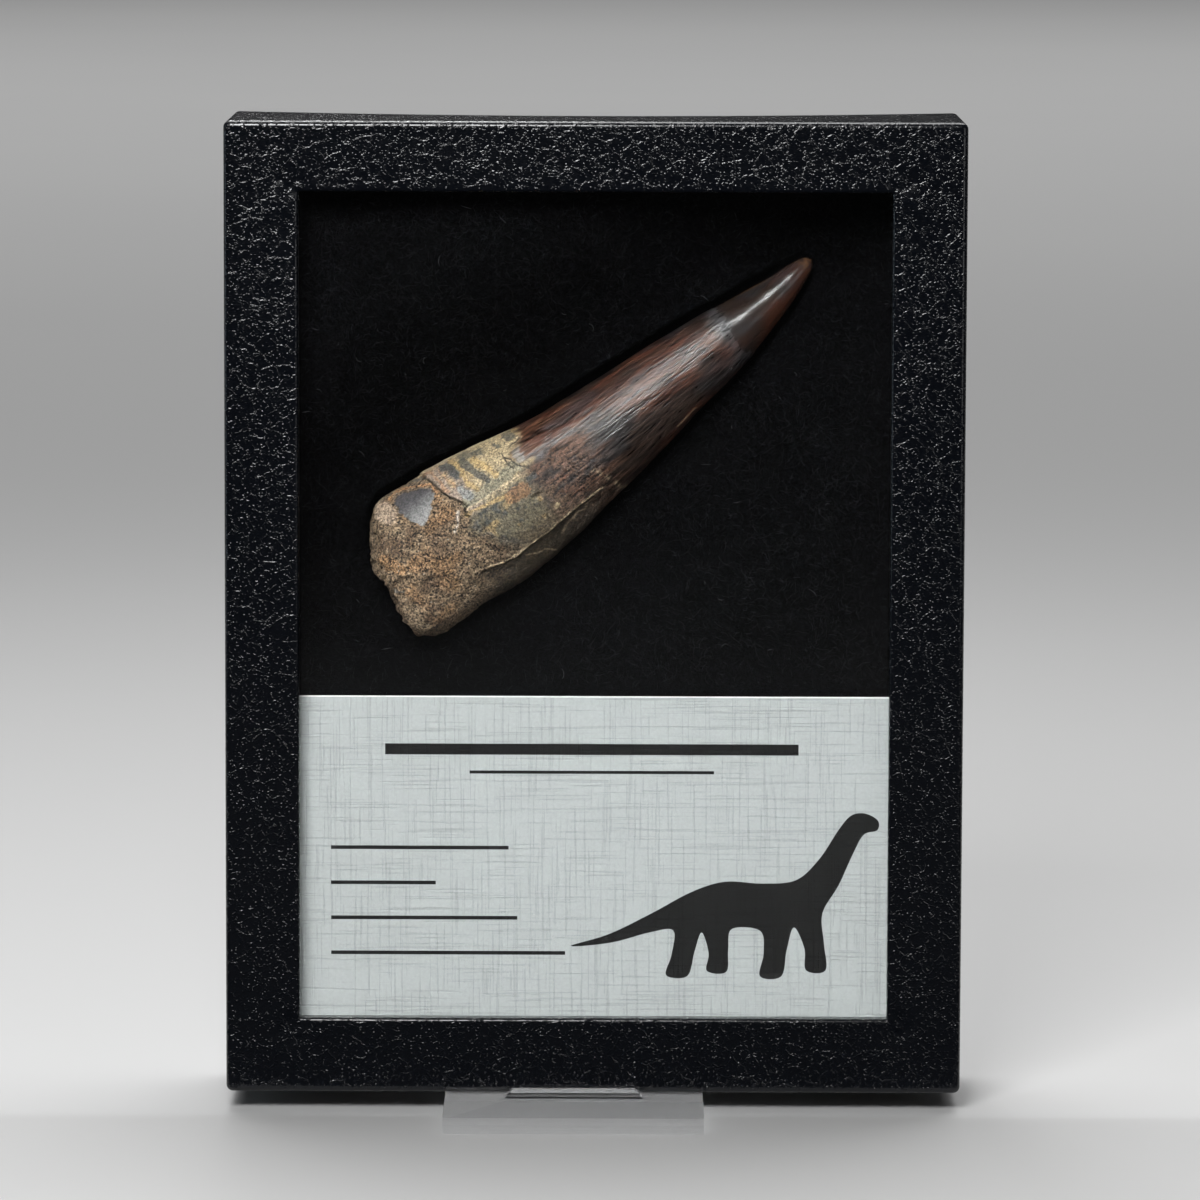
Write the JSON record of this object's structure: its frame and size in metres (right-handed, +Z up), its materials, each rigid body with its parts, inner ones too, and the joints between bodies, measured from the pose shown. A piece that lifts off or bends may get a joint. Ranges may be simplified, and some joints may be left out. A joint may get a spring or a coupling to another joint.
{
  "type": "spinosaurus tooth in glass-fronted display case",
  "caption": "Fossil tooth on black fibre behind the glass of a small black display case with a linen card, standing on a small clear stand.",
  "frame": {"origin": "middle of the footprint, on the surface that the stand rests on", "axes": "+Z up, the glass faces -Y, +X to the right as the case is seen from the front"},
  "size_m": [0.0826, 0.0486, 0.1113],
  "materials": {
    "leatherette": "embossed crackle grain, low gloss",
    "glass": "clear, polished",
    "fibre": "matt felted fibre",
    "linen_card": "linen-embossed card",
    "fossil": "polished dark enamel, matt sandy root",
    "acrylic": "clear, polished edges"
  },
  "bodies": {
    "root": {"case_lid": "leatherette", "glass_pane": "glass", "case_tray": "leatherette", "fibre_pad": "fibre", "label_card": "linen_card", "tooth": "fossil", "acrylic_stand": "acrylic"}
  },
  "joints": []
}
